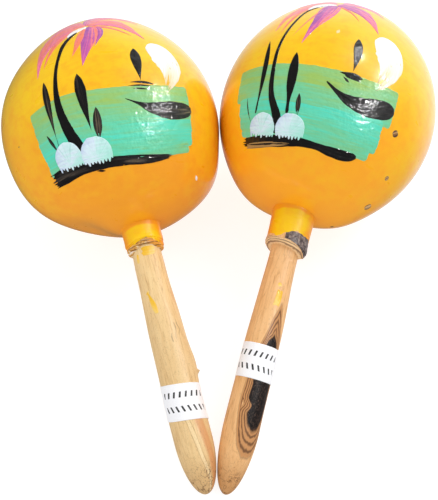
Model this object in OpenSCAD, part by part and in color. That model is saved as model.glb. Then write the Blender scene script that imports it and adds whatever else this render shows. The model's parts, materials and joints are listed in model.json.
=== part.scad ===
// A pair of gourd maracas lying in a V on a flat surface, heads and butts almost touching.
// Each maraca is a hollow gourd on a turned wooden handle, with loose seeds sealed inside.
// Frame: origin under the middle of the pair's box, +Z up, +Y towards the heads.

/* [Gourds] */
// Diameter of the left gourd across its axis
left_gourd_d = 100; // [90:0.5:110]
// Length of the left gourd along its axis
left_gourd_len = 103.2; // [95:0.2:115]
// Diameter of the right gourd across its axis
right_gourd_d = 100.6; // [90:0.2:110]
// Length of the right gourd along its axis
right_gourd_len = 105.4; // [95:0.2:115]
// Thickness of the dried gourd wall
shell_t = 3; // [2:0.5:4]

/* [Handles] */
// Left gourd's centre to the tip of its handle
left_reach = 164.5; // [150:0.5:185]
// Right gourd's centre to the tip of its handle
right_reach = 173.1; // [150:0.1:185]
// How far the left gourd sits outward of its handle's axis
left_offset = 1.2; // [0:0.1:4]
// How far the right gourd sits outward of its handle's axis
right_offset = 3.1; // [0:0.1:4]
// Diameter of the left grip
left_grip_d = 15.2; // [13:0.1:18]
// Diameter of the right grip
right_grip_d = 14.6; // [13:0.1:18]
// Diameter of the left handle just below its collar
left_neck_d = 12.6; // [11:0.1:14]
// Diameter of the right handle just below its collar
right_neck_d = 12.8; // [11:0.1:14]
// Length over which the left butt rounds off
left_butt_len = 21; // [10:1:30]
// Length over which the right butt rounds off
right_butt_len = 26; // [10:1:30]
// Butt tip to the end of the straight part of the grip
straight_end = 62; // [50:1:75]

/* [Collars] */
// Butt tip to the lower lip of the left collar
left_collar_from_tip = 102; // [98:0.5:106]
// Butt tip to the lower lip of the right collar
right_collar_from_tip = 102; // [98:0.5:106]
// Diameter of the left collar at the gourd
left_collar_d = 17.6; // [16:0.1:21]
// Diameter of the right collar at the gourd
right_collar_d = 19.6; // [16:0.1:21]
// Diameter of the left collar at its lip
left_lip_d = 16; // [15:0.1:20]
// Diameter of the right collar at its lip
right_lip_d = 19; // [15:0.1:20]
// Length over which a lip rounds in to the handle
lip_round = 2.4; // [1:0.1:4]

/* [Neck joint] */
// Diameter of the tenon that is glued into the gourd
tenon_d = 12; // [10:0.5:14]
// How far the tenon stands inside the gourd
tenon_inside = 8; // [4:1:10]
// Width of the glue bead round the collar
glue_w = 1.3; // [0.8:0.1:2]
// How far the bead's outer edge lies below the collar's corner
glue_rise = 0.2; // [0.1:0.05:0.3]

/* [Labels] */
// Length of each paper label round its handle
label_w = 26; // [20:1:30]
// Length of each paper label along its handle
label_h = 14.4; // [12:0.2:16]
// Thickness of the paper
label_t = 0.15; // [0.1:0.05:0.3]
// Butt tip to the near edge of the left label
left_label_from_tip = 28.3; // [26:0.1:34]
// Butt tip to the near edge of the right label
right_label_from_tip = 44.8; // [30:0.1:47]

/* [Seeds] */
// Diameter of a seed
seed_d = 5.2; // [4:0.1:5.6]
// Thickness of a seed
seed_t = 4.4; // [3.5:0.1:5]
// Distance between two rows of seeds along the maraca
row_pitch = 6.6; // [6.2:0.1:6.8]
// Clear space round every seed
seed_gap = 0.4; // [0.3:0.05:0.6]

/* [Layout] */
// Angle between each handle and the middle line of the V
vee_half_angle = 16.05; // [16.05:0.05:17]
// Gap between the two butts
butt_gap = 0.3; // [0.2:0.1:1]

/* [Hidden] */
SIDES = ["left", "right"];
SEED_COUNTS = [3, 5, 6, 6, 5, 3];
$fn = 96;

// Points on each rounded stretch of an outline
arc_steps = 12;
// Points on each half of a gourd's outline
gourd_steps = 30;
// Points on a seed's outline
seed_steps = 8;
// Overlap that keeps one cut or joint clean
eps = 0.5;

// One maraca's sizes, [left, right] for each
outward = [-1, 1];
gourd_r = [left_gourd_d, right_gourd_d] / 2;
gourd_half = [left_gourd_len, right_gourd_len] / 2;
reach = [left_reach, right_reach];
gourd_x = [-left_offset, right_offset];
grip_r = [left_grip_d, right_grip_d] / 2;
neck_r = [left_neck_d, right_neck_d] / 2;
butt_len = [left_butt_len, right_butt_len];
collar_start = [left_collar_from_tip, right_collar_from_tip];
collar_r = [left_collar_d, right_collar_d] / 2;
lip_r = [left_lip_d, right_lip_d] / 2;
label_start = [left_label_from_tip, right_label_from_tip];

// A grip's outline from its tip to its collar, as [radius, distance from the tip]
function grip_outline(m) = concat(
  [for (i = [0:arc_steps]) let (a = 90 * i / arc_steps)
    [grip_r[m] * sin(a), butt_len[m] * (1 - cos(a))]],
  [for (i = [0:arc_steps]) let (t = i / arc_steps)
    [neck_r[m] + (grip_r[m] - neck_r[m]) * (1 + cos(180 * t)) / 2,
     straight_end + (collar_start[m] - straight_end) * t]]
);

// A collar's outline from its lip to the gourd, as [radius, distance from the tip]
function collar_outline(m) = concat(
  [for (i = [1:arc_steps]) let (a = 90 * i / arc_steps)
    [neck_r[m] + (lip_r[m] - neck_r[m]) * sin(a), collar_start[m] + lip_round * (1 - cos(a))]],
  [[collar_r[m], reach[m] - gourd_half[m] - eps], [collar_r[m], reach[m] - tenon_seat(m)]]
);

// Distance from the gourd's centre to where the tenon meets the collar's wood
function tenon_seat(m) = gourd_half[m] - collar_r[m] / 2;

// Resting pose: how far the butt drops, and where each maraca's own origin lies
function flip(p, m) = [p[0], reach[m] - p[1]];
function rest_height(m, slope) = reach_to(gourd_r[m], gourd_half[m], sin(slope));
function reach_to(r, half, along) = sqrt(r * r + (half * half - r * r) * along * along);
function touch_slope(p, height) = asin(height / norm(p)) - atan(p[0] / p[1]);
function rest_slope(m, slope = 15, rounds = 4) =
  rounds == 0 ? slope :
  rest_slope(m, min([for (p = grip_outline(m)) touch_slope(flip(p, m), rest_height(m, slope))]), rounds - 1);
slopes = [for (m = [0, 1]) rest_slope(m)];
turns = [vee_half_angle, -vee_half_angle];
// Axis of each maraca from the gourd to the butt
axes = [for (m = [0, 1])
  [sin(turns[m]) * cos(slopes[m]), -cos(turns[m]) * cos(slopes[m]), -sin(slopes[m])]];
// How far a handle reaches along direction k from its own origin, towards the V's middle or the butts
function handle_extent(m, k) = max([for (p = grip_outline(m)) let (q = flip(p, m))
  q[1] * abs(axes[m][k]) + q[0] * sqrt(1 - axes[m][k] * axes[m][k])]);
function gourd_extent(m, k) = reach_to(gourd_r[m], gourd_half[m], axes[m][k]);
origin_x = [for (m = [0, 1]) outward[m] * (butt_gap / 2 + handle_extent(m, 0))];
origin_y = [for (m = [0, 1]) handle_extent(m, 1)];
centre_x = [for (m = [0, 1]) origin_x[m] + gourd_x[m] * cos(turns[m])];
centre_y = [for (m = [0, 1]) origin_y[m] + gourd_x[m] * sin(turns[m])];
middle_x = (centre_x[0] - gourd_extent(0, 0) + centre_x[1] + gourd_extent(1, 0)) / 2;
middle_y = max([for (m = [0, 1]) centre_y[m] + gourd_extent(m, 1)]) / 2;

// Puts a maraca, built along +Z from its gourd's centre towards its butt, where it lies
module lay(m) {
  translate([origin_x[m] - middle_x, origin_y[m] - middle_y, rest_height(m, slopes[m])])
    rotate([90 + slopes[m], 0, turns[m]])
      children();
}

// Solid of revolution with half-length half and radius r, about the gourd's own axis
module egg(m, r, half) {
  translate([gourd_x[m], 0, 0])
    rotate_extrude()
      polygon([for (i = [0:2 * gourd_steps]) let (a = 90 * i / gourd_steps)
        [i == 2 * gourd_steps ? 0 : r * sin(a), -half * cos(a)]]);
}

// Hollow gourd with the hole that takes the tenon
module gourd_shell(m) {
  color("orange")
    difference() {
      egg(m, gourd_r[m], gourd_half[m]);
      egg(m, gourd_r[m] - shell_t, gourd_half[m] - shell_t);
      cylinder(h = reach[m], d = tenon_d);
    }
}

// Grip, collar and tenon, turned from one stick
module handle(m) {
  color("burlywood") {
    difference() {
      rotate_extrude()
        polygon(concat(
          [for (p = concat(grip_outline(m), collar_outline(m))) flip(p, m)],
          [[0, tenon_seat(m)]]
        ));
      egg(m, gourd_r[m], gourd_half[m]);
    }
    tenon_end = gourd_half[m] - shell_t - tenon_inside;
    translate([0, 0, tenon_end])
      cylinder(h = gourd_half[m] + shell_t - tenon_end, d = tenon_d);
  }
}

// Hollow-faced bead of glue in the corner between collar and gourd, square to the gourd's wall
module neck_glue(m) {
  corner = gourd_half[m] * sqrt(1 - pow(collar_r[m] / gourd_r[m], 2));
  color("goldenrod")
    difference() {
      translate([gourd_x[m], 0, 0])
        rotate([0, -asin(gourd_x[m] / gourd_half[m]), 0])
          rotate_extrude()
            translate([collar_r[m], corner])
              polygon(concat(
                [[-eps, glue_w], [-eps, -glue_w], [glue_w, -glue_w]],
                [for (i = [0:arc_steps]) let (a = 90 * i / arc_steps)
                  [glue_w * (1 - sin(a)), glue_w * (1 - cos(a)) - glue_rise]]
              ));
      egg(m, gourd_r[m], gourd_half[m]);
      cylinder(h = reach[m], r = collar_r[m]);
    }
}

// Paper label bent round the top of the grip
module label(m) {
  wrap = label_w / grip_r[m] * 180 / PI;
  color("white")
    translate([0, 0, reach[m] - label_start[m] - label_h])
      rotate([0, 0, 90 - wrap / 2])
        rotate_extrude(angle = wrap)
          translate([grip_r[m], 0])
            square([label_t, label_h]);
}

// One seed, lying flat
module seed() {
  rotate_extrude($fn = 24)
    polygon([for (i = [0:seed_steps]) let (a = 180 * i / seed_steps)
      [i == seed_steps ? 0 : seed_d / 2 * sin(a), -seed_t / 2 * cos(a)]]);
}

// Seeds lying side by side along the lowest line of the gourd's wall, row 1 nearest the crown
module seed_row(m, row) {
  inset = shell_t + seed_gap + seed_d / 2;
  lowest = gourd_r[m] * sin(slopes[m]);
  station = lowest + (row - (len(SEED_COUNTS) + 1) / 2) * row_pitch;
  ring = (gourd_r[m] - inset) * sqrt(1 - pow(station / (gourd_half[m] - inset), 2));
  step = 2 * asin((seed_d + seed_gap) / 2 / ring);
  count = SEED_COUNTS[row - 1];
  color("saddlebrown")
    translate([gourd_x[m], 0, station])
      for (i = [0:count - 1])
        rotate([0, 0, (i - (count - 1) / 2) * step])
          translate([0, -ring, 0])
            rotate([90, 0, 0])
              seed();
}

for (m = [0, 1]) {
  lay(m) gourd_shell(m);
  lay(m) handle(m);
  lay(m) neck_glue(m);
  lay(m) label(m);
  for (row = [1:len(SEED_COUNTS)])
    lay(m) seed_row(m, row);
}
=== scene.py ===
# Looks of a pair of hand-painted gourd maracas that lie in a V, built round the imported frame.
# Shapes are worked out in millimetres in each maraca's own frame and placed in metres in the row frame.
import json
import math

import bmesh
import bpy
import numpy as np
from mathutils import Matrix


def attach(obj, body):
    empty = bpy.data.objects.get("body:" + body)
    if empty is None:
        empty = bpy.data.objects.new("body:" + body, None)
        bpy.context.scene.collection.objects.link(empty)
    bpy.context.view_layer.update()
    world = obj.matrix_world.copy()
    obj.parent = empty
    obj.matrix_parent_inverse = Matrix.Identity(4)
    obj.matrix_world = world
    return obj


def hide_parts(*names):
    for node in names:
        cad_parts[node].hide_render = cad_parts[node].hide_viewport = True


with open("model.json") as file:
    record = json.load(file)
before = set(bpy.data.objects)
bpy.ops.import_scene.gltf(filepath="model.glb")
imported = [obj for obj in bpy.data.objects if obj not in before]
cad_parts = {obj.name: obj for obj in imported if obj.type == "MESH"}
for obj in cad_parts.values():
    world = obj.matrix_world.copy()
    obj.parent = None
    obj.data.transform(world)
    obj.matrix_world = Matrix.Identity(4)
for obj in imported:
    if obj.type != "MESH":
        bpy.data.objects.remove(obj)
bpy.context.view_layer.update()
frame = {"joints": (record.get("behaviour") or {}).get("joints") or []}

MM = 0.001
JOINTS = {joint["name"]: joint for joint in frame["joints"]}

# Driving sizes of each maraca in millimetres, the same as the frame's
SIZES = {
    "left": dict(gourd_r=50.0, gourd_half=51.6, gourd_x=-1.2, reach=164.5, grip_r=7.6, neck_r=6.3,
                 butt_len=21.0, label_from=28.3),
    "right": dict(gourd_r=50.3, gourd_half=52.7, gourd_x=3.1, reach=173.1, grip_r=7.3, neck_r=6.4,
                  butt_len=26.0, label_from=44.8),
}
WALL = 3.0
TENON_R = 6.0
TENON_INSIDE = 8.0
STRAIGHT_END = 62.0
COLLAR_FROM = 102.0
LABEL_W = 26.0
LABEL_H = 14.4
LABEL_T = 0.15
LABEL_SLANT = {"left": -0.13, "right": 0.0}
SEED_COUNTS = (3, 5, 6, 6, 5, 3)
SEED_R = 2.6
SEED_HALF_T = 2.2
SEED_GAP = 0.4
ROW_PITCH = 6.6


# ------------------------------------------------------------------ small helpers

def unit(v):
    """v scaled to length 1 along its last axis."""
    v = np.asarray(v, float)
    return v / np.linalg.norm(v, axis=-1, keepdims=True)


def ease(x):
    """Smooth step from 0 at x = 0 to 1 at x = 1."""
    x = np.clip(x, 0, 1)
    return x * x * (3 - 2 * x)


def scatter(i, j, seed):
    """A fixed pseudo-random value from 0 to 1 for each lattice point."""
    v = np.sin(i * 127.1 + j * 311.7 + seed * 74.7) * 43758.5453
    return v - np.floor(v)


def noise(x, y, seed):
    """Smooth value noise from 0 to 1 with features about 1 unit across."""
    x, y = np.broadcast_arrays(np.asarray(x, float), np.asarray(y, float))
    i, j = np.floor(x), np.floor(y)
    u, v = ease(x - i), ease(y - j)
    low = scatter(i, j, seed) * (1 - u) + scatter(i + 1, j, seed) * u
    high = scatter(i, j + 1, seed) * (1 - u) + scatter(i + 1, j + 1, seed) * u
    return low * (1 - v) + high * v


def curve(knots, values, at):
    """A smooth curve through values at knots, read at the given places."""
    values = np.asarray(values, float)
    slopes = np.gradient(values, knots, axis=0)
    k = np.clip(np.searchsorted(knots, at, side="right") - 1, 0, len(knots) - 2)
    h = knots[k + 1] - knots[k]
    t = (at - knots[k]) / h
    if values.ndim > 1:
        h, t = h[..., None], t[..., None]
    near, far = values[k], values[k + 1]
    return (
        (2 * t ** 3 - 3 * t ** 2 + 1) * near
        + (t ** 3 - 2 * t ** 2 + t) * h * slopes[k]
        + (3 * t ** 2 - 2 * t ** 3) * far
        + (t ** 3 - t ** 2) * h * slopes[k + 1]
    )


def close_to(u, toward, width):
    """1 where direction u points along toward, falling to 0 over about width radians."""
    return np.exp(-2 * (1 - u @ unit(toward)) / width ** 2)


def away_from(angle, degrees):
    """Signed angle from a direction in degrees, in radians."""
    return (angle - np.radians(degrees) + np.pi) % (2 * np.pi) - np.pi


def around(cols):
    """Angles of cols places round a circle, as one row."""
    return np.linspace(0, 2 * math.pi, cols, endpoint=False)[None, :]


def lathe(radius, turn, z):
    """Points at a radius and an angle about the z axis, at height z."""
    return np.stack([radius * np.cos(turn), radius * np.sin(turn), z + 0 * radius], -1)


# ------------------------------------------------------------------ one maraca's shape

class Maraca:
    """One maraca: x is sideways, y is up and z runs from the gourd to the butt."""

    def __init__(self, side):
        self.side = side
        self.body = side + "_maraca"
        for name, value in SIZES[side].items():
            setattr(self, name, value)
        swirl = JOINTS[side + "_seed_swirl"]
        self.z = -unit(swirl["axis"])
        self.y = unit(JOINTS[side + "_seed_toss"]["axis"])
        self.x = np.cross(self.y, self.z)
        self.axes = np.array([self.x, self.y, self.z])
        self.gourd_at = np.array(swirl["pos_m"])
        self.stick_at = self.gourd_at - self.x * self.gourd_x * MM
        outward = -1 if side == "left" else 1
        self.held = [self.axes @ (0, 0, -1), self.axes @ (-outward, 0, 0)]
        draw = np.random.default_rng(7 if side == "left" else 12)
        self.waves = [
            (unit(draw.normal(size=3)) * draw.uniform(1.5, 6.0), draw.uniform(0, 6.28),
             draw.uniform(0.04, 0.12))
            for _ in range(7)
        ]

    def world(self, points, origin):
        """Points of this maraca's frame, in millimetres from origin, in the row frame in metres."""
        return origin + (points @ self.axes) * MM

    def gourd_radius(self, u):
        """Distance from the gourd's centre to its outer wall along direction u."""
        flat = (u[..., 0] ** 2 + u[..., 1] ** 2) / self.gourd_r ** 2 + u[..., 2] ** 2 / self.gourd_half ** 2
        hollow = sum(depth * np.sin(u @ wave + phase) for wave, phase, depth in self.waves)
        hollow = hollow + sum(depth * close_to(u, toward, width)
                              for toward, width, depth in GOURD_DENTS[self.side])
        for toward in self.held:
            hollow = hollow * (1 - close_to(u, toward, 0.25))
        hollow = hollow * (1 - close_to(u, (0, 0, 1), 0.3))
        scar = 0.9 * close_to(u, (0, 0, -1), 0.055) - 0.8 * close_to(u, (0, 0, -1), 0.022)
        return flat ** -0.5 - hollow - scar

    def on_gourd(self, x, y, height):
        """Points on the gourd at painting place x, y, raised by height."""
        turn = np.hypot(x, y)
        far = np.maximum(turn, 1e-9)[..., None]
        spin = (turn / PAINT_R)[..., None]
        aside = (PAINT_RIGHT * x[..., None] + PAINT_UP * y[..., None]) / far
        u = PAINT_CENTRE * np.cos(spin) + aside * np.sin(spin)
        return u * (self.gourd_radius(u) + height)[..., None]

    def collar_profile(self, d):
        """Radius of the collar at d from its lip towards the gourd."""
        reach, radius = np.array(COLLARS[self.side]).T
        return np.interp(d, reach, radius)

    def above_lip(self, d, angle):
        """Distance from the collar's uneven lip towards the gourd."""
        skew = sum(drop * np.exp(-(away_from(angle, at) / wide) ** 2)
                   for at, wide, drop in LIP_DROPS[self.side])
        return d + skew * np.exp(-((d - COLLAR_FROM) / 3.5) ** 2) - COLLAR_FROM

    def stick_radius(self, d, angle):
        """Radius of the handle at distance d from the butt's tip and at an angle about its axis."""
        butt = self.grip_r * np.sqrt(np.clip(1 - (1 - np.clip(d / self.butt_len, 0, 1)) ** 2, 0, 1))
        t = np.clip((d - STRAIGHT_END) / (COLLAR_FROM - STRAIGHT_END), 0, 1)
        shaft = self.neck_r + (self.grip_r - self.neck_r) * (1 + np.cos(np.pi * t)) / 2
        base = np.where(d < self.butt_len, butt, shaft)
        turned = (
            0.10 * np.sin(angle * 2 + d * 0.05)
            + 0.05 * np.sin(angle * 3 + d * 0.11 + 1.3)
            + 0.03 * np.sin(angle * 5 - d * 0.23)
        ) * np.clip(d / self.butt_len, 0, 1)
        for at, toward, length, width, high in KNOTS[self.side]:
            round_it = (away_from(angle, toward) / width) ** 2
            turned = turned + high * np.exp(-((d - at) / length) ** 2 - round_it)
        lip = self.above_lip(d, angle)
        collar = self.collar_profile(lip) + 0.06 * np.sin(angle * 7 + d * 1.7) * (lip < 6)
        return np.where(lip > 0, np.maximum(collar, shaft), base) + turned

    def on_stick(self, x, d, height):
        """Points on the handle at x round from its top line and d from the butt's tip, raised by height."""
        angle = np.pi / 2 - x / self.grip_r
        return lathe(self.stick_radius(d, angle) + height, angle, self.reach - d)


# Painting places: x and y in millimetres round a centre on the upper side of a gourd
PAINT_R = 50.0
PAINT_TILT = math.radians(15)
PAINT_CENTRE = np.array([0, math.cos(PAINT_TILT), math.sin(PAINT_TILT)])
PAINT_RIGHT = np.array([1.0, 0, 0])
PAINT_UP = np.array([0, math.sin(PAINT_TILT), -math.cos(PAINT_TILT)])

# Flatter places on each gourd: direction, width in radians, depth
GOURD_DENTS = {
    "left": [((-0.84, 0, 0.54), 0.35, -1.2), ((-0.5, 0.68, -0.52), 0.5, 2), ((0.74, -0.08, 0.67), 0.37, -2.9),
             ((-0.35, -0.1, 0.93), 0.33, 4.6), ((0.6, 0.5, -0.62), 0.5, 0.5), ((0.3, -0.5, -0.8), 0.5, 0.8)],
    "right": [((0.7, -0.4, 0.6), 0.5, 0.6), ((-0.2, -0.6, -0.8), 0.5, 0.7),
              ((-0.5, -0.18, 0.85), 0.3, -1.5), ((0.3, -0.25, 0.92), 0.25, -1.2)],
}
# Collar outlines: distance from the lip, radius
COLLARS = {
    "left": [(0, 6.6), (0.3, 7.7), (0.8, 8), (1.1, 7.6), (1.5, 8), (2.1, 8.25), (2.5, 7.7), (2.9, 8.2),
             (3.4, 7.9), (4, 8.5), (8, 8.5), (12, 8.65), (20, 8.9)],
    "right": [(0, 6.4), (0.2, 8), (0.6, 8.8), (0.9, 8.7), (1.3, 9.2), (1.6, 9.1), (2.2, 9.6), (3.6, 9.7),
              (5.4, 9.5), (6.4, 9.3), (12, 9.45), (19, 9.7), (19.4, 9.9), (20, 9.75), (24, 9.8)],
}
# Knots and swellings: distance from the tip, angle, length, angular width, height
KNOTS = {
    "left": [(50, 8, 7.5, 0.6, 1), (46.2, 4, 0.7, 0.13, 1.1), (33, 200, 14, 0.8, 0.15), (96, 90, 7, 3, 0.35)],
    "right": [(60, 150, 12, 0.7, 0.15), (20, 20, 9, 0.6, 0.15)],
}
# Where a lip hangs lower: angle, angular width, drop
LIP_DROPS = {
    "left": [(20, 0.5, 0.6), (160, 0.4, 0.5), (88, 0.65, -2.2), (110, 0.12, -0.4), (64, 0.1, -0.3)],
    "right": [(12, 0.34, 1.7), (150, 1.1, -3.4)],
}


# ------------------------------------------------------------------ mesh building

def grid_faces(rows, cols, wrap, base=0):
    """Quads of a grid of vertices numbered row by row from base."""
    i = np.arange(rows - 1)[:, None]
    j = np.arange(cols if wrap else cols - 1)[None, :]
    a = base + i * cols + j
    b = base + i * cols + (j + 1) % cols
    return np.stack([a, b, b + cols, a + cols], -1).reshape(-1, 4).tolist()


class Solid:
    """A mesh in the making: points in a maraca's frame with the values that its material reads."""

    def __init__(self):
        self.points, self.faces, self.marks, self.count = [], [], [], 0

    def add(self, points, marks, faces):
        """Adds points with their marks; faces count from the first of them."""
        self.points.append(points.reshape(-1, 3))
        self.marks.append(marks.reshape(-1, 3))
        self.faces += [[self.count + k for k in face] for face in faces]
        self.count += len(self.points[-1])

    def film(self, top, bottom, marks, wrap=False):
        """A thin closed slab between two grids of points."""
        rows, cols = top.shape[:2]
        size = rows * cols
        faces = grid_faces(rows, cols, wrap) + [f[::-1] for f in grid_faces(rows, cols, wrap, size)]
        rims = [np.arange(cols), size - cols + np.arange(cols)[::-1]]
        if wrap:
            rims = [np.append(rim, rim[0]) for rim in rims]
        else:
            rims += [np.arange(rows)[::-1] * cols, np.arange(rows) * cols + cols - 1]
        for rim in rims:
            faces += [[a, a + size, b + size, b] for a, b in zip(rim[:-1].tolist(), rim[1:].tolist())]
        both = np.concatenate([marks.reshape(-1, 3)] * 2)
        self.add(np.concatenate([top.reshape(-1, 3), bottom.reshape(-1, 3)]), both, faces)

    def capped(self, rings, marks):
        """A closed solid from rings of points whose first and last ring each shrink to one point."""
        rows, cols = rings.shape[:2]
        size = rows * cols
        faces = grid_faces(rows, cols, True)
        faces += [[size, (j + 1) % cols, j] for j in range(cols)]
        faces += [[size + 1, size - cols + j, size - cols + (j + 1) % cols] for j in range(cols)]
        ends = np.array([rings[0].mean(0), rings[-1].mean(0)])
        end_marks = np.array([marks[0].mean(0), marks[-1].mean(0)])
        points = np.concatenate([rings.reshape(-1, 3), ends])
        self.add(points, np.concatenate([marks.reshape(-1, 3), end_marks]), faces)

    def build(self, name, maraca, origin, material, body=None, replaces=()):
        """Makes the object, with its own coordinates kept for its material, and rides it on its body."""
        points = np.concatenate(self.points)
        mesh = bpy.data.meshes.new(name)
        mesh.from_pydata(maraca.world(points, origin).tolist(), [], self.faces)
        bm = bmesh.new()
        bm.from_mesh(mesh)
        bmesh.ops.recalc_face_normals(bm, faces=bm.faces)
        bm.to_mesh(mesh)
        bm.free()
        mesh.shade_smooth()
        for label, values in (("local", points), ("marks", np.concatenate(self.marks))):
            layer = mesh.attributes.new(label, "FLOAT_VECTOR", "POINT")
            layer.data.foreach_set("vector", values.astype(np.float32).ravel())
        mesh.materials.append(material)
        piece = bpy.data.objects.new(name, mesh)
        bpy.context.scene.collection.objects.link(piece)
        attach(piece, body or maraca.body)
        if replaces:
            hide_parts(*replaces)


# ------------------------------------------------------------------ materials

def tone(red, green, blue):
    """Linear colour of a 0 to 255 screen colour."""
    def linear(c):
        c = c / 255
        return c / 12.92 if c <= 0.04045 else ((c + 0.055) / 1.055) ** 2.4
    return (linear(red), linear(green), linear(blue), 1.0)


class Nodes:
    """A material's or world's node tree with short ways to add to it."""

    def __init__(self, owner):
        owner.use_nodes = True
        self.tree = owner.node_tree

    def set(self, node, inputs):
        """Gives a node's inputs, by name or number, their values or the outputs that feed them."""
        for key, value in inputs.items():
            if isinstance(value, bpy.types.NodeSocket):
                self.tree.links.new(value, node.inputs[key])
            else:
                node.inputs[key].default_value = value

    def node(self, kind, inputs, out=0, **props):
        """One output of a new node."""
        node = self.tree.nodes.new("ShaderNode" + kind)
        for key, value in props.items():
            setattr(node, key, value)
        self.set(node, inputs)
        return node.outputs[out]


class Paintbox(Nodes):
    """A material; its colours are 0 to 255 screen colours or the outputs of nodes."""

    def __init__(self, name, **shader):
        self.material = bpy.data.materials.new(name)
        super().__init__(self.material)
        self.finish(**shader)

    def finish(self, **shader):
        """Sets the shader's inputs, spaces in their names written as _, and returns the material."""
        named = {key.replace("_", " "): value for key, value in shader.items()}
        self.set(self.tree.nodes["Principled BSDF"], named)
        return self.material

    def place(self, scale=(1, 1, 1), name="local"):
        """The stored coordinates, scaled: a small scale along an axis stretches the detail along it."""
        stored = self.node("Attribute", {}, 1, attribute_name=name)
        return self.node("Mapping", {"Vector": stored, "Scale": scale})

    def axis(self, vector, name):
        return self.node("SeparateXYZ", {0: vector}, name)

    def mark(self, name):
        """One of the three stored values of a piece."""
        return self.axis(self.node("Attribute", {}, 1, attribute_name="marks"), name)

    def noise(self, place, scale, detail=3.0, rough=0.55, distort=0.0):
        inputs = dict(Vector=place, Scale=scale, Detail=detail, Roughness=rough, Distortion=distort)
        return self.node("TexNoise", inputs)

    def math(self, operation, a, b=0.5):
        return self.node("Math", {0: a, 1: b}, operation=operation)

    def add(self, a, b):
        return self.math("ADD", a, b)

    def times(self, a, b):
        return self.math("MULTIPLY", a, b)

    def gap(self, value, at):
        """How far value is from at."""
        return self.math("ABSOLUTE", self.math("SUBTRACT", value, at))

    def span(self, value, low, high, to_low=0.0, to_high=1.0):
        """value carried from low..high to to_low..to_high and held there."""
        return self.node("MapRange", {0: value, 1: low, 2: high, 3: to_low, 4: to_high})

    def stir(self, value, texture, low, high, reach):
        """value moved by -reach to reach as texture goes from low to high."""
        return self.add(value, self.span(texture, low, high, -reach, reach))

    def ramp(self, value, *stops):
        """A colour ramp of (place, colour) stops."""
        output = self.node("ValToRGB", {0: value})
        elements = output.node.color_ramp.elements
        while len(elements) < len(stops):
            elements.new(0.5)
        for element, (at, colour) in zip(elements, stops):
            element.position = at
            element.color = tone(*colour)
        return output

    def mix(self, share, a, b):
        """Colour a with a share of colour b."""
        a, b = (tone(*colour) if isinstance(colour, tuple) else colour for colour in (a, b))
        return self.node("Mix", {0: share, 6: a, 7: b}, 2, data_type="RGBA")

    def over(self, colour, top, value, low, high, share=1.0):
        """colour under top, which grows from nothing where value is low to share where it is high."""
        return self.mix(self.span(value, low, high, 0.0, share), colour, top)

    def bump(self, height, strength, depth, under=None):
        """Bump from a height of 0 to 1 that is depth millimetres deep, on top of another bump."""
        inputs = dict(Height=height, Strength=strength, Distance=depth * MM)
        if under is not None:
            inputs["Normal"] = under
        return self.node("Bump", inputs)


ORANGE = (248, 163, 32)
DEEP_ORANGE = (240, 148, 28)
YELLOW = (251, 204, 24)
VARNISH = dict(Coat_IOR=1.5, Specular_IOR_Level=0.2)


def enamel(name, yellow_from, yellow_to, orange=ORANGE, deep=DEEP_ORANGE, coat=0.7, gloss=0.07, axis="Z",
           slope=0.016):
    """Glossy brushed enamel that turns from yellow to orange along one axis, with painted light and shade in
    the turn: yellower where light falls, deeper orange where shade falls.
    """
    box = Paintbox(name, Coat_Weight=coat, Coat_Roughness=gloss, **VARNISH)
    local = box.place()
    brushed = box.noise(box.place((1, 1, 5)), 0.08, 4.0, distort=0.4)
    mottled = box.noise(local, 0.22, 5.0, 0.62)
    # The share of orange grows along the axis as painted shade; the noise adds random tone.
    orange_and_shade = box.times(box.axis(local, axis), slope)
    orange_and_shade = box.stir(orange_and_shade, box.noise(local, 0.035, 2.0), 0.3, 0.7, 0.22)
    orange_and_shade = box.stir(orange_and_shade, mottled, 0.35, 0.65, 0.12)
    colour = box.over(YELLOW, orange, box.add(orange_and_shade, box.mark("X")), yellow_from, yellow_to)
    colour = box.over(colour, deep, brushed, 0.4, 0.75, 0.22)
    colour = box.over(colour, deep, mottled, 0.5, 0.75, 0.3)
    colour = box.over(colour, (214, 124, 24), box.noise(local, 1.6), 0.62, 0.8, 0.22)
    specks = box.span(box.node("TexVoronoi", dict(Vector=local, Scale=0.11)), 0.055, 0.0)
    rare = box.span(box.noise(local, 0.05, 1.0), 0.55, 0.62, 0.0, 0.7)
    colour = box.mix(box.times(specks, rare), colour, (120, 70, 30))
    bump = box.bump(brushed, 0.25, 0.07)
    bump = box.bump(box.noise(local, 0.35), 0.35, 0.12, bump)
    bump = box.bump(specks, 0.3, 0.1, bump)
    rough = box.span(brushed, 0.2, 0.8, 0.24, 0.4)
    return box.finish(Base_Color=colour, Roughness=rough, Normal=bump, Coat_Normal=bump)


def brushed_paint(name, *stops, streak=1.4, dark=None, gloss=0.28, coat=0.5):
    """Brushed acrylic under varnish: colour runs with the stroke's tint, streaks follow the bristles."""
    box = Paintbox(name, Coat_Weight=coat, Coat_Roughness=0.05, **VARNISH)
    bristle = box.noise(box.place((0.07, streak, 0), "marks"), 1.0, 5.0, 0.65, 0.3)
    broad = box.noise(box.place((0.035, 0.16, 0.3), "marks"), 1.0, 2.0)
    tint = box.stir(box.mark("Z"), bristle, 0.25, 0.75, 0.22)
    colour = box.ramp(box.stir(tint, broad, 0.3, 0.7, 0.2), *stops)
    if dark is not None:
        share, shade = dark
        colour = box.over(colour, shade, bristle, 0.56, 0.78, share)
    bump = box.bump(bristle, 0.6, 0.1)
    bump = box.bump(box.noise(box.place(), 0.5, 2.0, 0.4), 1.0, 0.4, bump)
    rough = box.span(bristle, 0.3, 0.7, gloss, gloss + 0.18)
    return box.finish(Base_Color=colour, Roughness=rough, Normal=bump, Coat_Normal=bump)


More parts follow.
